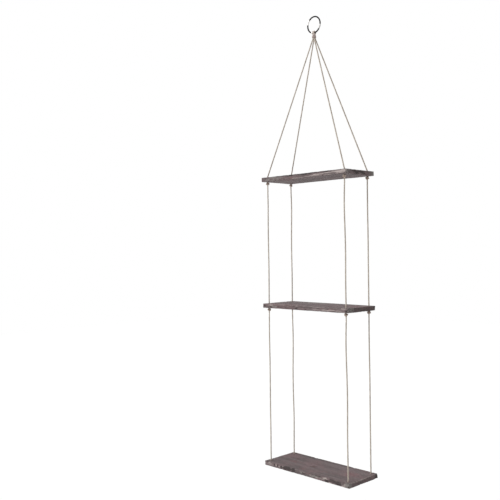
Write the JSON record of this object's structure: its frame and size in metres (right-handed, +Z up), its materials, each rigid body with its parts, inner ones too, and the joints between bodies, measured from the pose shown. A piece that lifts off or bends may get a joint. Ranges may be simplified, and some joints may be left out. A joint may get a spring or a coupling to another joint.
{
  "type": "hanging rope shelf",
  "caption": "Hanging shelf: wooden boards one above another on knotted ropes that gather in a lashing under a steel ring; it swings, turns and its lower tiers sway.",
  "frame": {"origin": "inner top of the hanging ring, where it rests on its hook", "axes": "+X along the boards to the right, -Y the front, +Z up"},
  "size_m": [0.4, 0.16, 1.663],
  "materials": {
    "steel": "polished round steel wire, darkened",
    "wood": "rough sawn softwood, grey brown stain worn pale and dark along its edges",
    "rope": "natural three strand twisted cord, matt, slightly hairy"
  },
  "bodies": {
    "hanging_ring": {"hanging_ring": "steel"},
    "ring_loops": {"ring_loop_left": "rope", "ring_loop_right": "rope"},
    "crown_neck": {"crown_neck": "rope"},
    "top_tier": {"top_board": "wood", "crown_lashing": "rope", "upper_rope_front_left": "rope", "upper_rope_front_right": "rope", "upper_rope_rear_left": "rope", "upper_rope_rear_right": "rope"},
    "top_knot_rear_left": {"top_knot_rear_left": "rope"},
    "middle_rope_rear_left": {"middle_rope_rear_left": "rope"},
    "top_knot_front_left": {"top_knot_front_left": "rope"},
    "middle_rope_front_left": {"middle_rope_front_left": "rope"},
    "top_knot_front_right": {"top_knot_front_right": "rope"},
    "middle_rope_front_right": {"middle_rope_front_right": "rope"},
    "top_knot_rear_right": {"top_knot_rear_right": "rope"},
    "middle_rope_rear_right": {"middle_rope_rear_right": "rope"},
    "middle_rope_foot": {"middle_rope_foot": "rope"},
    "middle_tier": {"middle_board": "wood", "middle_through_front_left": "rope", "middle_through_front_right": "rope", "middle_through_rear_left": "rope", "middle_through_rear_right": "rope"},
    "middle_knot_rear_left": {"middle_knot_rear_left": "rope"},
    "lower_rope_rear_left": {"lower_rope_rear_left": "rope"},
    "middle_knot_front_left": {"middle_knot_front_left": "rope"},
    "lower_rope_front_left": {"lower_rope_front_left": "rope"},
    "middle_knot_front_right": {"middle_knot_front_right": "rope"},
    "lower_rope_front_right": {"lower_rope_front_right": "rope"},
    "middle_knot_rear_right": {"middle_knot_rear_right": "rope"},
    "lower_rope_rear_right": {"lower_rope_rear_right": "rope"},
    "lower_rope_foot": {"lower_rope_foot": "rope"},
    "bottom_tier": {"bottom_board": "wood", "bottom_knot_front_left": "rope", "bottom_knot_front_right": "rope", "bottom_knot_rear_left": "rope", "bottom_knot_rear_right": "rope"}
  },
  "joints": [
    {"name": "side_swing", "type": "hinge", "parent": "hanging_ring", "child": "ring_loops", "pos_m": [0, 0, -0.027], "axis": [0, 1, 0], "range_deg": [-25, 25]},
    {"name": "front_swing", "type": "hinge", "parent": "ring_loops", "child": "crown_neck", "pos_m": [0, 0, -0.0565], "axis": [1, 0, 0], "range_deg": [-20, 20]},
    {"name": "turn", "type": "hinge", "parent": "crown_neck", "child": "top_tier", "pos_m": [0, 0, -0.06575], "axis": [0, 0, 1], "range_deg": [-45, 45]},
    {"name": "middle_side_sway", "type": "hinge", "parent": "top_tier", "child": "top_knot_rear_left", "pos_m": [-0.183, 0.064, -0.59605], "axis": [0, 1, 0], "range_deg": [-10, 10]},
    {"name": "middle_front_sway", "type": "hinge", "parent": "top_knot_rear_left", "child": "middle_rope_rear_left", "pos_m": [-0.183, 0.064, -0.59605], "axis": [1, 0, 0], "range_deg": [-10, 10]},
    {"name": "middle_side_sway_front_left", "type": "hinge", "parent": "top_tier", "child": "top_knot_front_left", "pos_m": [-0.183, -0.064, -0.59605], "axis": [0, 1, 0], "range_deg": [-10, 10]},
    {"name": "middle_front_sway_front_left", "type": "hinge", "parent": "top_knot_front_left", "child": "middle_rope_front_left", "pos_m": [-0.183, -0.064, -0.59605], "axis": [1, 0, 0], "range_deg": [-10, 10]},
    {"name": "middle_side_sway_front_right", "type": "hinge", "parent": "top_tier", "child": "top_knot_front_right", "pos_m": [0.183, -0.064, -0.59605], "axis": [0, 1, 0], "range_deg": [-10, 10]},
    {"name": "middle_front_sway_front_right", "type": "hinge", "parent": "top_knot_front_right", "child": "middle_rope_front_right", "pos_m": [0.183, -0.064, -0.59605], "axis": [1, 0, 0], "range_deg": [-10, 10]},
    {"name": "middle_side_sway_rear_right", "type": "hinge", "parent": "top_tier", "child": "top_knot_rear_right", "pos_m": [0.183, 0.064, -0.59605], "axis": [0, 1, 0], "range_deg": [-10, 10]},
    {"name": "middle_front_sway_rear_right", "type": "hinge", "parent": "top_knot_rear_right", "child": "middle_rope_rear_right", "pos_m": [0.183, 0.064, -0.59605], "axis": [1, 0, 0], "range_deg": [-10, 10]},
    {"name": "middle_level_front", "type": "hinge", "parent": "middle_rope_rear_left", "child": "middle_rope_foot", "pos_m": [-0.183, 0.064, -1.04356], "axis": [1, 0, 0], "range_deg": [-10, 10]},
    {"name": "middle_level_side", "type": "hinge", "parent": "middle_rope_foot", "child": "middle_tier", "pos_m": [-0.183, 0.064, -1.04356], "axis": [0, 1, 0], "range_deg": [-10, 10]},
    {"name": "lower_side_sway", "type": "hinge", "parent": "middle_tier", "child": "middle_knot_rear_left", "pos_m": [-0.183, 0.064, -1.06905], "axis": [0, 1, 0], "range_deg": [-10, 10]},
    {"name": "lower_front_sway", "type": "hinge", "parent": "middle_knot_rear_left", "child": "lower_rope_rear_left", "pos_m": [-0.183, 0.064, -1.06905], "axis": [1, 0, 0], "range_deg": [-10, 10]},
    {"name": "lower_side_sway_front_left", "type": "hinge", "parent": "middle_tier", "child": "middle_knot_front_left", "pos_m": [-0.183, -0.064, -1.06905], "axis": [0, 1, 0], "range_deg": [-10, 10]},
    {"name": "lower_front_sway_front_left", "type": "hinge", "parent": "middle_knot_front_left", "child": "lower_rope_front_left", "pos_m": [-0.183, -0.064, -1.06905], "axis": [1, 0, 0], "range_deg": [-10, 10]},
    {"name": "lower_side_sway_front_right", "type": "hinge", "parent": "middle_tier", "child": "middle_knot_front_right", "pos_m": [0.183, -0.064, -1.06905], "axis": [0, 1, 0], "range_deg": [-10, 10]},
    {"name": "lower_front_sway_front_right", "type": "hinge", "parent": "middle_knot_front_right", "child": "lower_rope_front_right", "pos_m": [0.183, -0.064, -1.06905], "axis": [1, 0, 0], "range_deg": [-10, 10]},
    {"name": "lower_side_sway_rear_right", "type": "hinge", "parent": "middle_tier", "child": "middle_knot_rear_right", "pos_m": [0.183, 0.064, -1.06905], "axis": [0, 1, 0], "range_deg": [-10, 10]},
    {"name": "lower_front_sway_rear_right", "type": "hinge", "parent": "middle_knot_rear_right", "child": "lower_rope_rear_right", "pos_m": [0.183, 0.064, -1.06905], "axis": [1, 0, 0], "range_deg": [-10, 10]},
    {"name": "lower_level_front", "type": "hinge", "parent": "lower_rope_rear_left", "child": "lower_rope_foot", "pos_m": [-0.183, 0.064, -1.63456], "axis": [1, 0, 0], "range_deg": [-10, 10]},
    {"name": "lower_level_side", "type": "hinge", "parent": "lower_rope_foot", "child": "bottom_tier", "pos_m": [-0.183, 0.064, -1.63456], "axis": [0, 1, 0], "range_deg": [-10, 10]}
  ],
  "couplings": [
    {"joint": "middle_side_sway_front_left", "follows": "middle_side_sway", "ratio": 1},
    {"joint": "middle_front_sway_front_left", "follows": "middle_front_sway", "ratio": 1},
    {"joint": "middle_side_sway_front_right", "follows": "middle_side_sway", "ratio": 1},
    {"joint": "middle_front_sway_front_right", "follows": "middle_front_sway", "ratio": 1},
    {"joint": "middle_side_sway_rear_right", "follows": "middle_side_sway", "ratio": 1},
    {"joint": "middle_front_sway_rear_right", "follows": "middle_front_sway", "ratio": 1},
    {"joint": "middle_level_front", "follows": "middle_front_sway", "ratio": -1},
    {"joint": "middle_level_side", "follows": "middle_side_sway", "ratio": -1},
    {"joint": "lower_side_sway_front_left", "follows": "lower_side_sway", "ratio": 1},
    {"joint": "lower_front_sway_front_left", "follows": "lower_front_sway", "ratio": 1},
    {"joint": "lower_side_sway_front_right", "follows": "lower_side_sway", "ratio": 1},
    {"joint": "lower_front_sway_front_right", "follows": "lower_front_sway", "ratio": 1},
    {"joint": "lower_side_sway_rear_right", "follows": "lower_side_sway", "ratio": 1},
    {"joint": "lower_front_sway_rear_right", "follows": "lower_front_sway", "ratio": 1},
    {"joint": "lower_level_front", "follows": "lower_front_sway", "ratio": -1},
    {"joint": "lower_level_side", "follows": "lower_side_sway", "ratio": -1}
  ]
}
